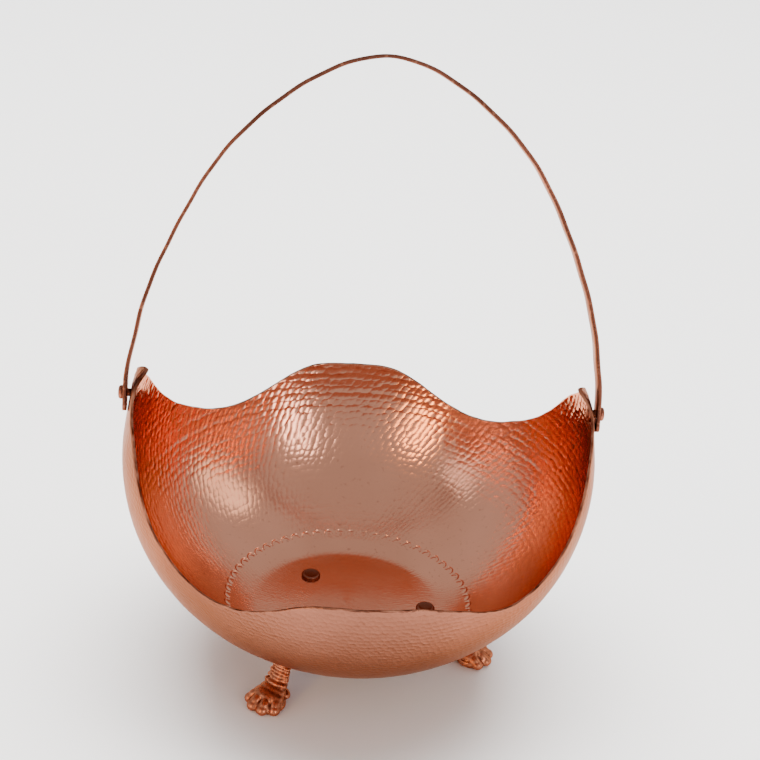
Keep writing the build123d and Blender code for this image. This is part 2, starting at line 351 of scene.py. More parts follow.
def rim_height(sizes, turn):
    """Height of the rim at an angle round the bowl, on a closed smooth curve."""
    quarter = [(a, sizes.dip + share * (sizes.ear - sizes.dip)) for a, share in EAR_SHARES]
    quarter += [(a, sizes.dip + share * (sizes.lobe - sizes.dip)) for a, share in LOBE_SHARES]
    half = quarter + [(180 - a, h) for a, h in reversed(quarter[:-1])]
    shallow = {a: share * (sizes.lobe - sizes.dip) for a, share in SHALLOW_SHARES.items()}
    whole = half + [(360 - a, h + shallow.get(a, 0.0)) for a, h in reversed(half[1:-1])]
    knots = np.array([a for a, _ in whole], float)
    values = np.array([h for _, h in whole])
    gaps = np.diff(np.append(knots, 360.0))
    rise = np.diff(np.append(values, values[0])) / gaps
    count = len(knots)
    system = np.zeros((count, count))
    for k in range(count):
        system[k, k - 1] = gaps[k - 1]
        system[k, k] = 2 * (gaps[k - 1] + gaps[k])
        system[k, (k + 1) % count] = gaps[k]
    bend = np.linalg.solve(system, 6 * (rise - np.roll(rise, 1)))
    degrees = np.degrees(turn) % 360.0
    k = np.searchsorted(knots, degrees, side="right") - 1
    after = (k + 1) % count
    t = degrees - knots[k]
    gap = gaps[k]
    slope = rise[k] - gap * (2 * bend[k] + bend[after]) / 6
    return sizes.stand + values[k] + t * (
        slope + t * (bend[k] / 2 + t * (bend[after] - bend[k]) / (6 * gap))
    )


def smooth_step(low, high, value):
    """0 below low, 1 above high, with no corner between."""
    t = np.clip((value - low) / (high - low), 0.0, 1.0)
    return t * t * (3 - 2 * t)


def scatter(a, b, salt):
    """Repeatable numbers from 0 to 1 for pairs of whole numbers."""
    mixed = np.sin(a * 127.1 + b * 311.7 + salt * 74.7) * 43758.5453
    return mixed - np.floor(mixed)


def hammer_marks(turn, along, table, blow, salt):
    """How far a point lies from the middle of its hammer mark, squared: 0 in the middle, about 1
    at the edge. The marks lie in rows round the bowl."""
    row_gap = blow * ROW_GAP
    row = np.floor(along / row_gap)
    best = np.full(turn.shape, np.inf)
    for step in (-1, 0, 1):
        here = row + step
        middle = (here + 0.5 + ROW_WANDER * (scatter(here, 3.0, salt) - 0.5)) * row_gap
        radius = np.interp(middle, table[0], table[1])
        marks = np.maximum(6, np.round(2 * pi * radius / blow))
        shift = scatter(here, 7.0, salt)
        cell = np.floor(turn / (2 * pi) * marks + shift)
        for side in (-1, 0, 1):
            mark = cell + side
            label = np.mod(mark, marks)
            wobble = 0.5 + MARK_WANDER * (scatter(label, here, salt) - 0.5)
            lift = MARK_LIFT * row_gap * (scatter(label, here, salt + 1.7) - 0.5)
            across = (turn - (mark + wobble - shift) / marks * 2 * pi) * radius
            best = np.minimum(best, (across / blow) ** 2 + ((along - middle - lift) / blow) ** 2)
    return np.minimum(best * MARK_STEEPNESS, MARK_LIMIT)


def waves(turn, along, salt):
    """Slow unevenness of hand work, between about -1 and 1."""
    total = np.zeros(turn.shape)
    for k in range(1, 7):
        phase = 6.28 * scatter(float(k), 5.0, salt)
        stretch = 18.0 + 19.0 * scatter(float(k), 2.0, salt)
        total += np.sin(turn * (k + 2) + stretch * along * 2.2 + phase) / (1 + 0.35 * k)
    return total / 3.0


# Mesh helpers ---------------------------------------------------------------------------------


def new_piece(name, mesh, finishes, body, replaced):
    """Puts a mesh in the scene as one piece of the basket."""
    mesh.name = name
    piece = bpy.data.objects.new(name, mesh)
    bpy.context.scene.collection.objects.link(piece)
    for finish in finishes:
        mesh.materials.append(finish)
    mesh.shade_smooth()
    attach(piece, body)
    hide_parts(*replaced)
    return piece


def grid_faces(rows, columns):
    """Four-sided faces of a grid whose columns close on themselves."""
    row = np.arange(rows - 1)[:, None] * columns
    column = np.arange(columns)[None, :]
    after = (column + 1) % columns
    return np.stack(
        [row + column, row + after, row + columns + after, row + columns + column], -1
    ).reshape(-1, 4)


def end_fans(rows, columns):
    """Triangles that close both ends of such a grid, whose two end points follow its own points."""
    first, last = rows * columns, (rows - 1) * columns
    fans = [(first, (k + 1) % columns, k) for k in range(columns)]
    fans += [(first + 1, last + k, last + (k + 1) % columns) for k in range(columns)]
    return fans


def mesh_from(points, quads, caps=()):
    """A mesh from points, four-sided faces and a few faces of other sizes."""
    mesh = bpy.data.meshes.new("basket_mesh")
    faces = quads.tolist() + [list(cap) for cap in caps]
    mesh.from_pydata(np.asarray(points).reshape(-1, 3).tolist(), [], faces)
    mesh.update()
    return mesh


def turned_mesh(profile, steps, wobble=0.0, salt=0.0):
    """A solid turned about Z from (radius, height) points, the first and last on the axis."""
    turn = np.arange(steps) * 2 * pi / steps
    rings = []
    for k, (radius, height) in enumerate(profile[1:-1]):
        uneven = 1 + wobble * np.sin(3 * turn + salt + k) + 0.6 * wobble * np.sin(7 * turn - salt)
        rings.append(
            np.stack([radius * uneven * np.cos(turn), radius * uneven * np.sin(turn),
                      np.full(steps, height)], -1)
        )
    points = np.concatenate(rings + [np.array([[0, 0, profile[0][1]], [0, 0, profile[-1][1]]])])
    return mesh_from(points, grid_faces(len(rings), steps), end_fans(len(rings), steps))


def from_face(face, outline):
    """An outline in millimetres, (radius, height) from a face, in metres."""
    return [(radius * MM, face + height * MM) for radius, height in outline]


def with_modifiers(context, piece):
    """A new mesh of a piece with its modifiers applied."""
    context.view_layer.update()
    return bpy.data.meshes.new_from_object(
        piece.evaluated_get(context.evaluated_depsgraph_get())
    )


# Finishes -------------------------------------------------------------------------------------


def start_finish(name, roughness, metallic=1.0):
    """A new node material; returns it with its tree, its shader and its object coordinates."""
    finish = bpy.data.materials.new(name)
    finish.use_nodes = True
    tree = finish.node_tree
    shader = tree.nodes["Principled BSDF"]
    shader.inputs["Metallic"].default_value = metallic
    shader.inputs["Roughness"].default_value = roughness
    if metallic:
        shader.inputs["Specular Tint"].default_value = GLANCING_TINT
    place = tree.nodes.new("ShaderNodeTexCoord").outputs["Object"]
    return finish, tree, shader, place


def cloud(tree, place, scale, detail=3.0, stretch=None):
    """Noise in object space; stretch squeezes it along the axes."""
    if stretch:
        squeeze = tree.nodes.new("ShaderNodeMapping")
        squeeze.inputs["Scale"].default_value = stretch
        tree.links.new(place, squeeze.inputs["Vector"])
        place = squeeze.outputs["Vector"]
    noise = tree.nodes.new("ShaderNodeTexNoise")
    noise.inputs["Scale"].default_value = scale
    noise.inputs["Detail"].default_value = detail
    tree.links.new(place, noise.inputs["Vector"])
    return noise.outputs["Fac"]


def spread(tree, value, low, high, to_low, to_high):
    """Maps a value from one range to another, clamped."""
    ranged = tree.nodes.new("ShaderNodeMapRange")
    for socket, number in zip(("From Min", "From Max", "To Min", "To Max"),
                              (low, high, to_low, to_high)):
        ranged.inputs[socket].default_value = number
    tree.links.new(value, ranged.inputs["Value"])
    return ranged.outputs["Result"]


def blend_colours(tree, share, first, second):
    """Mixes two colours, each a tuple or a socket, by a share."""
    mixer = tree.nodes.new("ShaderNodeMix")
    mixer.data_type = "RGBA"
    tree.links.new(share, mixer.inputs["Factor"])
    for socket, colour in ((mixer.inputs[6], first), (mixer.inputs[7], second)):
        if isinstance(colour, bpy.types.NodeSocket):
            tree.links.new(colour, socket)
        else:
            socket.default_value = (*colour, 1.0)
    return mixer.outputs[2]


def raise_surface(tree, shader, heights):
    """Bumps the shader by (height socket, strength, depth) in turn."""
    normal = None
    for height, strength, depth in heights:
        bump = tree.nodes.new("ShaderNodeBump")
        bump.inputs["Strength"].default_value = strength
        bump.inputs["Distance"].default_value = depth
        tree.links.new(height, bump.inputs["Height"])
        if normal:
            tree.links.new(normal, bump.inputs["Normal"])
        normal = bump.outputs["Normal"]
    tree.links.new(normal, shader.inputs["Normal"])


def product(tree, first, second):
    """Multiplies two values."""
    times = tree.nodes.new("ShaderNodeMath")
    times.operation = "MULTIPLY"
    tree.links.new(first, times.inputs[0])
    tree.links.new(second, times.inputs[1])
    return times.outputs["Value"]


def hammer_facets(tree, place, scale, low, high, least, most):
    """Height of the hammer marks: rows of shallow dishes, whose strength grows up the wall."""
    rows = tree.nodes.new("ShaderNodeUVMap")
    rows.uv_map = "hammer_rows"
    cells = tree.nodes.new("ShaderNodeTexVoronoi")
    cells.voronoi_dimensions = "2D"
    cells.inputs["Scale"].default_value = scale
    cells.inputs["Randomness"].default_value = 0.5
    tree.links.new(rows.outputs["UV"], cells.inputs["Vector"])
    dish = tree.nodes.new("ShaderNodeMath")
    dish.operation = "POWER"
    dish.inputs[1].default_value = 2.0
    tree.links.new(cells.outputs["Distance"], dish.inputs[0])
    split = tree.nodes.new("ShaderNodeSeparateXYZ")
    tree.links.new(place, split.inputs["Vector"])
    strength = spread(tree, split.outputs["Z"], low, high, least, most)
    patchy = spread(tree, cloud(tree, place, 22.0, 2.0), 0.35, 0.65, 0.55, 1.0)
    return product(tree, product(tree, dish.outputs["Value"], strength), patchy)


def sheet_finish(name, colours, bright, warm, smooth, rough, scale, reach):
    """Planished copper sheet: hammer marks, warm and bright patches, fine scuffs and pits."""
    finish, tree, shader, place = start_finish(name, smooth)
    patches = spread(tree, cloud(tree, place, 16.0, 2.0), 0.35, 0.66, 0.0, 1.0)
    tone = blend_colours(tree, patches, bright, warm)
    specks = spread(tree, cloud(tree, place, 420.0, 4.0), 0.62, 0.78, 0.0, 0.35)
    tone = blend_colours(tree, specks, tone, tuple(colours.recess))
    tree.links.new(tone, shader.inputs["Base Color"])
    haze = spread(tree, cloud(tree, place, 38.0, 5.0), 0.3, 0.7, smooth, rough)
    tree.links.new(haze, shader.inputs["Roughness"])
    raise_surface(tree, shader, [
        (hammer_facets(tree, place, scale, *reach), 1.0, 0.0009),
        (cloud(tree, place, 260.0, 3.0), 0.25, 0.00005),
        (cloud(tree, place, 90.0, 2.0, (1.0, 1.0, 5.0)), 0.3, 0.00010),
    ])
    return finish


def edge_finish(colours):
    """Sheared edge of the sheet, dark brown and dull."""
    finish, tree, shader, place = start_finish("sheared_edge", 0.5)
    patches = spread(tree, cloud(tree, place, 120.0, 3.0), 0.35, 0.7, 0.0, 0.75)
    tree.links.new(
        blend_colours(tree, patches, tuple(colours.recess), tuple(colours.warm)),
        shader.inputs["Base Color"],
    )
    raise_surface(tree, shader, [(cloud(tree, place, 900.0, 2.0), 0.5, 0.00005)])
    return finish


def browned(colours, lift):
    """The brown of the strap, made lighter."""
    return tuple(min(1.0, lift * c) for c in colours.strap)


def strap_finish(colours):
    """Drawn copper strap, browned, with long rubbed streaks."""
    finish, tree, shader, place = start_finish("browned_strap", 0.3)
    patches = spread(tree, cloud(tree, place, 30.0, 4.0), 0.35, 0.7, 0.0, 1.0)
    tone = blend_colours(tree, patches, tuple(colours.strap), browned(colours, 1.9))
    worn = spread(tree, cloud(tree, place, 300.0, 3.0, (1.0, 3.0, 0.25)), 0.55, 0.75, 0.0, 0.5)
    tone = blend_colours(tree, worn, tone, tuple(colours.warm))
    tree.links.new(tone, shader.inputs["Base Color"])
    haze = spread(tree, cloud(tree, place, 70.0, 4.0), 0.3, 0.7, 0.24, 0.42)
    tree.links.new(haze, shader.inputs["Roughness"])
    raise_surface(tree, shader, [
        (cloud(tree, place, 500.0, 2.0, (1.0, 2.5, 0.3)), 0.4, 0.00005),
        (cloud(tree, place, 60.0, 2.0), 0.4, 0.0002),
    ])
    return finish


def cast_finish(name, colours, pits, crown):
    """Copper: crown colour on the high points, dark in the hollows, slightly pitted."""
    finish, tree, shader, place = start_finish(name, 0.3)
    shape = tree.nodes.new("ShaderNodeNewGeometry").outputs["Pointiness"]
    high = spread(tree, shape, 0.46, 0.53, 0.0, 1.0)
    tone = blend_colours(tree, high, tuple(colours.recess), crown)
    patches = spread(tree, cloud(tree, place, 140.0, 4.0), 0.4, 0.7, 0.0, 0.45)
    worn = tuple(0.7 * c for c in crown)
    tone = blend_colours(tree, patches, tone, worn)
    tree.links.new(tone, shader.inputs["Base Color"])
    haze = spread(tree, cloud(tree, place, 200.0, 4.0), 0.3, 0.7, 0.2, 0.42)
    tree.links.new(haze, shader.inputs["Roughness"])
    raise_surface(tree, shader, [
        (cloud(tree, place, 650.0, 3.0), 0.5, pits),
        (cloud(tree, place, 210.0, 2.0), 0.4, 2 * pits),
    ])
    return finish


# Operators ------------------------------------------------------------------------------------


class BASKET_OT_bowl(bpy.types.Operator):
    """Builds the hammered bowl with its scalloped rim and ring of crescents"""

    bl_idname = "basket.bowl"
    bl_label = "Bowl"
    columns = 620

    def marked(self, sizes, table, turn, along, inset, inner):
        """Points of one face of the sheet, with hammer marks, unevenness and the punched ring."""
        radius, height, tilt = wall_at(table, along, inset)
        near_rim = smooth_step(*RIM_MARKS, along)
        if inner:
            depth = sizes.blow_depth * (
                FIRST_DEPTH * smooth_step(*FIRST_MARKS, along)
                + WALL_DEPTH * smooth_step(*WALL_MARKS, along) + RIM_DEPTH * near_rim
            )
            marks = hammer_marks(turn, along, table, sizes.blow, 1.0)
            push = depth * (marks - 0.5)
            rings = np.sin(along / SPIN_GAP * 2 * pi + 0.8 * np.sin(3 * turn))
            push += SPIN_DEPTH * rings * smooth_step(*SPIN_LINES, along) * (1 - 0.7 * near_rim)
        else:
            depth = OUTSIDE_DEPTH * sizes.blow_depth * smooth_step(*OUTSIDE_MARKS, along)
            marks = hammer_marks(turn, along, table, OUTSIDE_MARK * sizes.blow, 4.0)
            push = -depth * (marks - 0.5)
        beside_pivot = np.minimum(np.abs(np.sin(turn)) * 6.0, 1.0)
        push += DENT_DEPTH * smooth_step(*DENTS, along) * beside_pivot * waves(turn, along, 2.0)
        shoulder = (sizes.bowl_radius * SHOULDER[0]) * radians(SHOULDER[1])
        ring = (table[1][1] + KNUCKLE[0] * sizes.bowl_radius * radians(KNUCKLE[1])
                + PUNCH_SHARE * shoulder)
        step = 2 * pi / sizes.punch_count
        across = (np.mod(turn + step / 2, step) - step / 2) * radius
        outward = along - ring
        from_middle = np.hypot(across, outward)
        stroke = np.abs(from_middle - sizes.punch_radius * PUNCH_MIDDLE)
        mark = 1 - smooth_step(*PUNCH_STROKE, stroke)
        mark *= smooth_step(-PUNCH_HALF, PUNCH_HALF, outward)
        push -= (PUNCH_INSIDE if inner else PUNCH_OUTSIDE) * sizes.punch_depth * mark
        radius = radius - push * np.sin(tilt)
        height = height + push * np.cos(tilt)
        return np.stack([radius * np.cos(turn), radius * np.sin(turn), height], -1)

    def execute(self, context):
        sizes, colours = context.scene.basket_sizes, context.scene.basket_colours
        table = wall_table(sizes)
        turn = np.arange(self.columns) * 2 * pi / self.columns
        rim = rim_height(sizes, turn)
        split = float(np.interp(sizes.stand + EVEN_HEIGHT, table[2], table[0]))
        lip = LIP_SHARE * sizes.sheet

        def face(stretches, rim_rows, inset, inner):
            low = np.concatenate([
                np.linspace(start, split if end is None else end, count)
                for start, end, count in stretches
            ])
            top = np.interp(rim - lip, wall_at(table, table[0], inset)[1], table[0])
            share = np.linspace(0, 1, rim_rows + 1)[1:, None]
            along = np.vstack([
                np.repeat(low[:, None], self.columns, 1), split + share * (top - split)[None, :]
            ])
            turns = np.broadcast_to(turn, along.shape)
            return along, self.marked(sizes, table, turns, along, inset, inner)

        inner, inner_points = face(INNER_ROWS, INNER_RIM_ROWS, sizes.sheet, True)
        outer, outer_points = face(OUTER_ROWS, OUTER_RIM_ROWS, 0.0, False)
        inner_top, outer_top = inner_points[-1], outer_points[-1]
        uneven = 0.00012 * np.sin(turn * 37) + 0.0001 * np.sin(turn * 61 + 1.0)
        lip_rows = []
        for share, drop in LIP_ROWS:
            across = inner_top + share * (outer_top - inner_top)
            across[:, 2] = rim + uneven - lip * drop
            lip_rows.append(across)
        sheet_rows = np.concatenate([inner_points, np.array(lip_rows), outer_points[::-1]])
        quads = grid_faces(len(sheet_rows), self.columns)
        middle = np.array([[0, 0, inner_points[0, 0, 2]], [0, 0, outer_points[0, 0, 2]]])
        points = np.concatenate([sheet_rows.reshape(-1, 3), middle])
        caps = [fan[::-1] for fan in end_fans(len(sheet_rows), self.columns)]
        mesh = mesh_from(points, quads[:, ::-1], caps)
        finishes = [
            sheet_finish(
                "planished_inside", colours, tuple(colours.bright), tuple(colours.warm),
                0.13, 0.24, 1.2, (0.04, 0.10, 0.08, 0.62),
            ),
            edge_finish(colours),
            # the outside takes the darkened outside copper, painted shade that dims its reflection
            # of the bright floor
            sheet_finish(
                "planished_outside_shaded", colours, tuple(colours.outside),
                tuple(0.78 * c for c in colours.outside), 0.28, 0.4, 1.6, (0.03, 0.09, 0.2, 0.5),
            ),
        ]
        # which finish each face has: inside, then the edge, then outside
        part = np.zeros(len(mesh.polygons), int)
        edge_start = (len(inner_points) - 1) * self.columns
        edge_end = edge_start + (len(LIP_ROWS) + 1) * self.columns
        part[edge_start:edge_end] = 1
        part[edge_end : len(quads)] = 2
        part[len(quads) + self.columns :] = 2
        # the sheet unrolled into rows of marks, each row half a mark on from the one below
        lip_along = np.repeat(inner[-1:], len(LIP_ROWS), 0)
        along = np.append(np.concatenate([inner, lip_along, outer[::-1]]).ravel(), [0.0, 0.0])
        corner = np.empty(len(mesh.loops), int)
        mesh.loops.foreach_get("vertex_index", corner)
        across = (corner % self.columns) / self.columns
        round_the_seam = across[: 4 * len(quads)].reshape(-1, 4)
        wraps = np.ptp(round_the_seam, axis=1) > 0.5
        round_the_seam += wraps[:, None] * (round_the_seam < 0.5)
        row = along[corner] / (0.9 * sizes.blow)
        marks = round(2 * pi * sizes.bowl_radius / sizes.blow)
        unrolled = mesh.uv_layers.new(name="hammer_rows")
        unrolled.data.foreach_set("uv", np.stack([across * marks + 0.5 * row, row], -1).ravel())
        new_piece("hammered_bowl", mesh, finishes, "basket", ["bowl"])
        mesh.polygons.foreach_set("material_index", part)
        return {"FINISHED"}


def pivot_place(sizes):
    """Height of the pivot line, and the outside of the sheet there."""
    height = curl_foot(sizes) - PIVOT_BELOW_CURL
    _, out, up, _ = wall_table(sizes)
    return height, float(np.interp(height, up[ARC_STEPS:], out[ARC_STEPS:]))


def foot_stance(sizes, azimuth, share, toe_turn):
    """Where a foot stands, from one built with its rivet on Z and its toes towards +X."""
    return (
        Matrix.Rotation(radians(azimuth), 4, "Z")
        @ Matrix.Translation((share * sizes.bowl_radius, 0, 0))
        @ Matrix.Rotation(radians(toe_turn), 4, "Z")
    )


def smooth_curve(points, start, end, steps):
    """Points on a smooth curve through points, with its directions at both ends given."""
    points = np.asarray(points, float)
    gaps = np.linalg.norm(np.diff(points, axis=0), axis=1)
    count = len(points)
    system = np.zeros((count, count))
    target = np.zeros_like(points)
    rise = np.diff(points, axis=0) / gaps[:, None]
    system[0, 0] = system[-1, -1] = 1.0
    target[0], target[-1] = start, end
    for k in range(1, count - 1):
        system[k, k - 1] = gaps[k]
        system[k, k] = 2 * (gaps[k - 1] + gaps[k])
        system[k, k + 1] = gaps[k - 1]
        target[k] = 3 * (gaps[k] * rise[k - 1] + gaps[k - 1] * rise[k])
    slopes = np.linalg.solve(system, target)
    whole = []
    for k in range(count - 1):
        t = np.linspace(0, 1, max(4, int(steps * gaps[k] / gaps.sum())), endpoint=False)[:, None]
        whole.append(
            (2 * t**3 - 3 * t**2 + 1) * points[k]
            + (t**3 - 2 * t**2 + t) * gaps[k] * slopes[k]
            + (3 * t**2 - 2 * t**3) * points[k + 1]
            + (t**3 - t**2) * gaps[k] * slopes[k + 1]
        )
    return np.concatenate(whole + [points[-1:]])


class BASKET_OT_handle(bpy.types.Operator):
    """Builds the strap handle, with its rounded ends and rivet holes"""

    bl_idname = "basket.handle"
    bl_label = "Handle"

    def execute(self, context):
        sizes, colours = context.scene.basket_sizes, context.scene.basket_colours
        pivot, ear = pivot_place(sizes)
        half = sizes.strap_thickness / 2
        spread_x = ear + STRAP_STANDOFF + half

        def arch_point(side, share):
            out, up = share
            return (side * spread_x * out + sizes.arch_skew * up, sizes.arch * up)

        arch = [(-spread_x, STRAP_STRAIGHT)]
        arch += [arch_point(-1, share) for share in ARCH_SHARES]
        arch += [(sizes.arch_skew, sizes.arch)]
        arch += [arch_point(1, share) for share in reversed(ARCH_SHARES)]
        arch += [(spread_x, STRAP_STRAIGHT)]
        middle = smooth_curve(arch, (0, 1), (0, -1), ARCH_STEPS)
        tail = np.linspace(-STRAP_TAIL, STRAP_STRAIGHT, TAIL_STEPS, endpoint=False)
        left = np.stack([np.full(TAIL_STEPS, -spread_x), tail], -1)
        middle = np.concatenate([left, middle, left[::-1] * (-1, 1)])
        step = np.gradient(middle, axis=0)
        step /= np.linalg.norm(step, axis=1)[:, None]
        across = np.stack([-step[:, 1], step[:, 0]], -1)
        length = np.append(0, np.cumsum(np.linalg.norm(np.diff(middle, axis=0), axis=1)))
        from_end = np.minimum(length, length[-1] - length)
        corner = STRAP_CORNER * sizes.strap_width
        near = np.clip(corner - from_end, 0, corner)
        breadth = sizes.strap_width / 2 - corner + np.sqrt(corner**2 - near**2)
        clear = smooth_step(*STRAP_WAVER, from_end)
        breadth = breadth * (1 + 0.012 * clear * np.sin(length * 190) * np.sin(length * 67))
        bow = 0.00012 * clear * np.sin(length * 260) + 0.00015 * clear * np.sin(length * 97)
        middle = middle + across * bow[:, None]
        soft = STRAP_SOFTNESS
        section = []
        for side_x, side_y, first in ((1, 1, 0), (-1, 1, 90), (-1, -1, 180), (1, -1, 270)):
            for angle in (0, 45, 90):
                a = radians(first + angle)
                section.append((side_x, side_y, soft * cos(a), soft * sin(a)))
        lean = sizes.lean
        up_line = np.array([0, sin(lean), cos(lean)])
        out_line = np.array([0, cos(lean), -sin(lean)])
        rings = []
        for side_x, side_y, soft_x, soft_y in section:
            thick = side_x * (half - soft) + soft_x
            wide = side_y * (breadth - soft) + soft_y
            place = middle + across * thick
            rings.append(
                place[:, :1] * np.array([1, 0, 0])
                + place[:, 1:] * up_line
                + wide[:, None] * out_line
                + np.array([0, 0, pivot])
            )
        points = np.stack(rings, 1)
        count = len(section)
        quads = grid_faces(len(points), count)
        last = (len(points) - 1) * count
        mesh = mesh_from(points, quads, [range(count), [last + k for k in range(count)][::-1]])
        fill = bmesh.new()
        fill.from_mesh(mesh)
        bmesh.ops.recalc_face_normals(fill, faces=fill.faces)
        fill.to_mesh(mesh)
        fill.free()
        strap = new_piece(
            "strap_handle", mesh, [strap_finish(colours)], "handle", ["handle"]
        )
        drill = bmesh.new()
        bmesh.ops.create_cone(
            drill, cap_ends=True, segments=48, radius1=SHANK_RADIUS + SHANK_CLEARANCE,
            radius2=SHANK_RADIUS + SHANK_CLEARANCE, depth=3 * sizes.bowl_radius,
            matrix=Matrix.Translation((0, 0, pivot)) @ Matrix.Rotation(pi / 2, 4, "Y"),
        )
        hole_mesh = bpy.data.meshes.new("drill")
        drill.to_mesh(hole_mesh)
        drill.free()
        hole = bpy.data.objects.new("drill", hole_mesh)
        context.scene.collection.objects.link(hole)
        cut = strap.modifiers.new("rivet_holes", "BOOLEAN")
        cut.operation = "DIFFERENCE"
        cut.solver = "EXACT"
        cut.object = hole
        drilled = with_modifiers(context, strap)
        strap.modifiers.clear()
        strap.data = drilled
        bpy.data.objects.remove(hole)
        return {"FINISHED"}


class BASKET_OT_pivots(bpy.types.Operator):
    """Builds the two pivot rivets with their washers"""

    bl_idname = "basket.pivots"
    bl_label = "Pivot rivets"

    def execute(self, context):
        sizes, colours = context.scene.basket_sizes, context.scene.basket_colours
        pivot, ear = pivot_place(sizes)
        washer_face = ear - sizes.sheet - WASHER_THICKNESS
        head_face = ear + STRAP_STANDOFF + sizes.strap_thickness + HEAD_GAP
        finish = cast_finish("peened_copper", colours, 0.00003, browned(colours, 2.0))
        shank = [(SHANK_RADIUS, washer_face), (SHANK_RADIUS, head_face)]
        rivet = from_face(washer_face, PEENED_END) + shank + from_face(head_face, DOMED_HEAD)
        washer = from_face(washer_face, WASHER)
        for side, turn, salt in (("right", 0.0, 0.4), ("left", pi, 2.1)):
            stand_out = (
                Matrix.Rotation(turn, 4, "Z")
                @ Matrix.Translation((0, 0, pivot))
                @ Matrix.Rotation(pi / 2, 4, "Y")
            )
            for kind, outline, wobble in (("rivet", rivet, 0.012), ("washer", washer, 0.02)):
                mesh = turned_mesh(outline, 48, wobble, salt)
                mesh.transform(stand_out)
                new_piece(
                    f"{side}_peened_{kind}", mesh, [finish], "basket",
                    [f"{side}_pivot_{kind}"],
                )
        return {"FINISHED"}


class BASKET_OT_feet(bpy.types.Operator):
    """Builds the three cast paw feet"""

    bl_idname = "basket.feet"
    bl_label = "Paw feet"

    def lump(self, shape, middle, radii, turn=0.0, pitch=0.0):
        """Adds one rounded lump of the casting, in millimetres."""
        place = (
            Matrix.Translation(Vector(middle) * MM)
            @ Matrix.Rotation(turn, 4, "Z")
            @ Matrix.Rotation(pitch, 4, "Y")
            @ Matrix.Diagonal((*(Vector(radii) * MM), 1.0))
        )
        bmesh.ops.create_icosphere(shape, subdivisions=3, radius=1.0, matrix=place)

    def execute(self, context):
        sizes, colours = context.scene.basket_sizes, context.scene.basket_colours
        stand = sizes.stand / MM
        shape = bmesh.new()
        pad = Matrix.Translation((0, 0, (stand - PAD_THICKNESS / 2) * MM))
        taller = stand / CAST_STAND
        bmesh.ops.create_cone(
            shape, cap_ends=True, segments=40, radius1=PAD_RADIUS * MM,
            radius2=PAD_RADIUS * MM, depth=PAD_THICKNESS * MM, matrix=pad,
        )
        for x, z, long, wide, tall in LEG:
            height = z * taller if z > INSTEP else z
            self.lump(shape, (x, 0, height), (long, wide, tall * taller))
        # rib behind the ankle
        for t in np.linspace(0, 1, 7):
            self.lump(shape, (7.4 + 8.6 * t, 0, 20.8 - 11.5 * t * t), (3.0, 2.1, 3.0))
        # heel and ball of the paw
        self.lump(shape, (19.5, 0, 3.4), (4.6, 7.6, 3.4))
        self.lump(shape, (29.2, 0, 2.8), (9.9, 10.9, 4.9))
        # toes, each with its tip and knuckle
        for turn in TOE_TURNS:
            a = radians(turn)
            toe_x = TOE_ROOT + TOE_REACH * cos(a)
            toe_y = TOE_REACH * sin(a) / sin(radians(TOE_TURNS[-1]))
            aim = 0.55 * a
            back_x, back_y = cos(aim), sin(aim)
            self.lump(
                shape, (toe_x - 3.4 * back_x, toe_y - 3.0 * back_y, 4.4), (5.6, 3.5, 3.6), aim, 0.3
            )
            self.lump(shape, (toe_x, toe_y, 2.7), (3.5, 3.5, 2.9), aim)
            self.lump(
                shape, (toe_x - 0.8 * back_x, toe_y - 0.8 * back_y, 4.6), (2.0, 2.2, 1.7), aim
            )
        # locks of fur over the ankle
        for level, (x, z) in enumerate(LOCK_PLACES):
            for side in LOCK_SIDES:
                self.lump(
                    shape,
                    (x - 1.4 * abs(side), side * (4.0 + 0.5 * level), z - 0.9 * (1 - abs(side))),
                    (1.6, 1.9, 1.5), side * 0.6, 0.5,
                )
        rough = bpy.data.meshes.new("paw_lumps")
        shape.to_mesh(rough)
        shape.free()
        lumps = bpy.data.objects.new("paw_lumps", rough)
        context.scene.collection.objects.link(lumps)
        skin = lumps.modifiers.new("skin", "REMESH")
        skin.mode = "VOXEL"
        skin.voxel_size = PAW_VOXEL
        paw = with_modifiers(context, lumps)
        bpy.data.objects.remove(lumps)
        points = np.empty(len(paw.vertices) * 3)
        paw.vertices.foreach_get("co", points)
        points = self.carve(points.reshape(-1, 3), stand * MM)
        paw.vertices.foreach_set("co", points.ravel())
        paw.update()
        finish = cast_finish("cast_paw", colours, 0.00006, tuple(colours.cast))
        for name, azimuth, share, toe_turn in FOOT_PLACES:
            mesh = paw.copy()
            mesh.transform(foot_stance(sizes, azimuth, share, toe_turn))
            new_piece(
                f"{name}_paw", mesh, [finish], "basket", [f"{name}_foot"]
            )
        bpy.data.meshes.remove(paw)
        return {"FINISHED"}

    def carve(self, points, stand):
        """Scores fur lines into the ankle, grooves between the toes, and flattens sole and top."""
        x, y, z = points.T
        fur = smooth_step(*FUR_FROM, z) * (1 - smooth_step(*FUR_TO, z))
        lines = np.sin((z + 0.12 * np.abs(y)) / FUR_GAP * 2 * pi)
        outward = np.stack([x - ANKLE_X, y, 0 * z], -1)
        outward /= np.linalg.norm(outward, axis=1)[:, None] + 1e-9
        front = smooth_step(-0.2, 0.4, outward[:, 0])
        points = points + outward * (FUR_DEPTH * lines * fur * front)[:, None]
        x, y, z = points.T
        toe = smooth_step(*TOES_FROM, x) * (1 - smooth_step(*TOES_UP_TO, z))
        aim = np.arctan2(y, x - TOE_FAN_X)
        groove = np.exp(-((aim / 0.05) ** 2))
        groove += np.exp(-(((np.abs(aim) - GROOVE_TURN) / 0.055) ** 2))
        points[:, 2] -= GROOVE_DEPTH * groove * toe * smooth_step(*GROOVE_RISE, z)
        points[:, 2] = np.clip(points[:, 2], 0.0, stand)
        return points


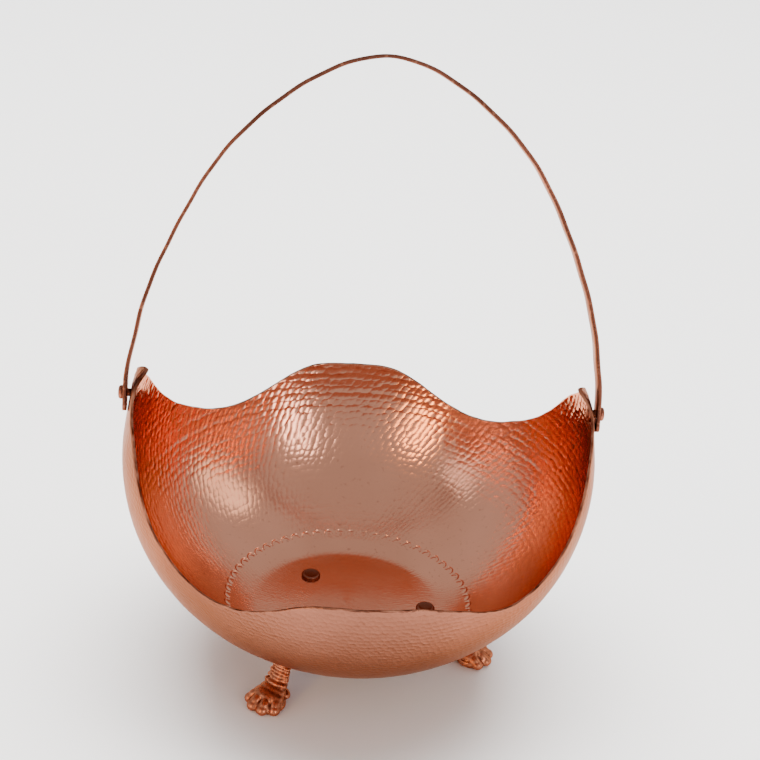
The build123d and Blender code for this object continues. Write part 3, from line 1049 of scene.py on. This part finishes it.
class BASKET_OT_foot_rivets(bpy.types.Operator):
    """Builds the flat-topped rivets that hold the feet to the floor"""

    bl_idname = "basket.foot_rivets"
    bl_label = "Foot rivets"

    def execute(self, context):
        sizes, colours = context.scene.basket_sizes, context.scene.basket_colours
        profile = from_face(sizes.stand - PAD_THICKNESS * MM, RIVET_END)
        profile += from_face(sizes.stand + sizes.sheet, RIVET_HEAD)
        finish = cast_finish("turned_copper", colours, 0.00002, browned(colours, 1.6))
        for index, (name, azimuth, share, toe_turn) in enumerate(FOOT_PLACES):
            mesh = turned_mesh(profile, 64, 0.006, 0.9 * index)
            mesh.transform(foot_stance(sizes, azimuth, share, toe_turn))
            new_piece(
                f"{name}_floor_rivet", mesh, [finish], "basket",
                [f"{name}_foot_rivet"],
            )
        return {"FINISHED"}


class BASKET_OT_studio(bpy.types.Operator):
    """Sets the camera, the pale floor and the soft studio light"""

    bl_idname = "basket.studio"
    bl_label = "Studio"

    def execute(self, context):
        scene = context.scene
        lens = bpy.data.cameras.new("studio_camera")
        lens.sensor_width = SENSOR_WIDTH
        lens.lens = FOCAL_LENGTH
        lens.clip_start, lens.clip_end = 0.05, 60.0
        camera = bpy.data.objects.new("studio_camera", lens)
        scene.collection.objects.link(camera)
        ahead = Vector(CAMERA_AHEAD).normalized()
        right = ahead.cross(Vector(CAMERA_UP)).normalized()
        aim = Matrix((right, right.cross(ahead), -ahead)).transposed().to_4x4()
        camera.matrix_world = Matrix.Translation(CAMERA_PLACE) @ aim
        scene.camera = camera

        ground = bmesh.new()
        bmesh.ops.create_grid(ground, x_segments=40, y_segments=40, size=FLOOR_REACH)
        floor_mesh = bpy.data.meshes.new("studio_floor")
        ground.to_mesh(floor_mesh)
        ground.free()
        floor = bpy.data.objects.new("studio_floor", floor_mesh)
        floor.location.z = -FLOOR_DROP
        scene.collection.objects.link(floor)
        paint, tree, shader, place = start_finish("studio_white", 0.8, 0.0)
        shade = spread(tree, cloud(tree, place, 3.0), 0.3, 0.7, 0.0, 1.0)
        tree.links.new(
            blend_colours(tree, shade, (0.93, 0.93, 0.93), (0.95, 0.95, 0.95)),
            shader.inputs["Base Color"],
        )
        floor_mesh.materials.append(paint)

        world = bpy.data.worlds.new("studio_world")
        world.use_nodes = True
        sky = world.node_tree.nodes["Background"]
        sky.inputs["Color"].default_value = WORLD_COLOUR
        sky.inputs["Strength"].default_value = WORLD_STRENGTH
        scene.world = world
        for name, place_at, wide, tall, power, colour in LIGHTS:
            light = bpy.data.lights.new(name, "AREA")
            light.shape = "RECTANGLE"
            light.size, light.size_y = wide, tall
            light.energy = power
            light.color = colour
            lamp = bpy.data.objects.new(name, light)
            lamp.location = place_at
            lamp.rotation_mode = "QUATERNION"
            towards = Vector(LIGHT_AIM) - Vector(place_at)
            lamp.rotation_quaternion = towards.to_track_quat("-Z", "Y")
            lamp.visible_glossy = name != UNMIRRORED_LIGHT
            scene.collection.objects.link(lamp)
        return {"FINISHED"}


STEPS = (
    BASKET_OT_studio,
    BASKET_OT_bowl,
    BASKET_OT_handle,
    BASKET_OT_pivots,
    BASKET_OT_feet,
    BASKET_OT_foot_rivets,
)


class BASKET_PT_panel(bpy.types.Panel):
    """Lists the steps that build the basket"""

    bl_idname = "BASKET_PT_panel"
    bl_label = "Copper Basket"
    bl_space_type = "VIEW_3D"
    bl_region_type = "UI"
    bl_category = "Copper Basket"

    def draw(self, context):
        column = self.layout.column(align=True)
        for step in STEPS:
            column.operator(step.bl_idname, text=step.bl_label)
        for group in (context.scene.basket_sizes, context.scene.basket_colours):
            for name in group.bl_rna.properties.keys():
                if name not in ("rna_type", "name"):
                    column.prop(group, name)


CLASSES = (BasketSizes, BasketColours, *STEPS, BASKET_PT_panel)


def register():
    for item in CLASSES:
        bpy.utils.register_class(item)
    bpy.types.Scene.basket_sizes = bpy.props.PointerProperty(type=BasketSizes)
    bpy.types.Scene.basket_colours = bpy.props.PointerProperty(type=BasketColours)


def unregister():
    del bpy.types.Scene.basket_colours
    del bpy.types.Scene.basket_sizes
    for item in reversed(CLASSES):
        bpy.utils.unregister_class(item)


def main():
    register()
    bpy.ops.basket.studio()
    bpy.ops.basket.bowl()
    bpy.ops.basket.handle()
    bpy.ops.basket.pivots()
    bpy.ops.basket.feet()
    bpy.ops.basket.foot_rivets()


if __name__ == "__main__":
    main()
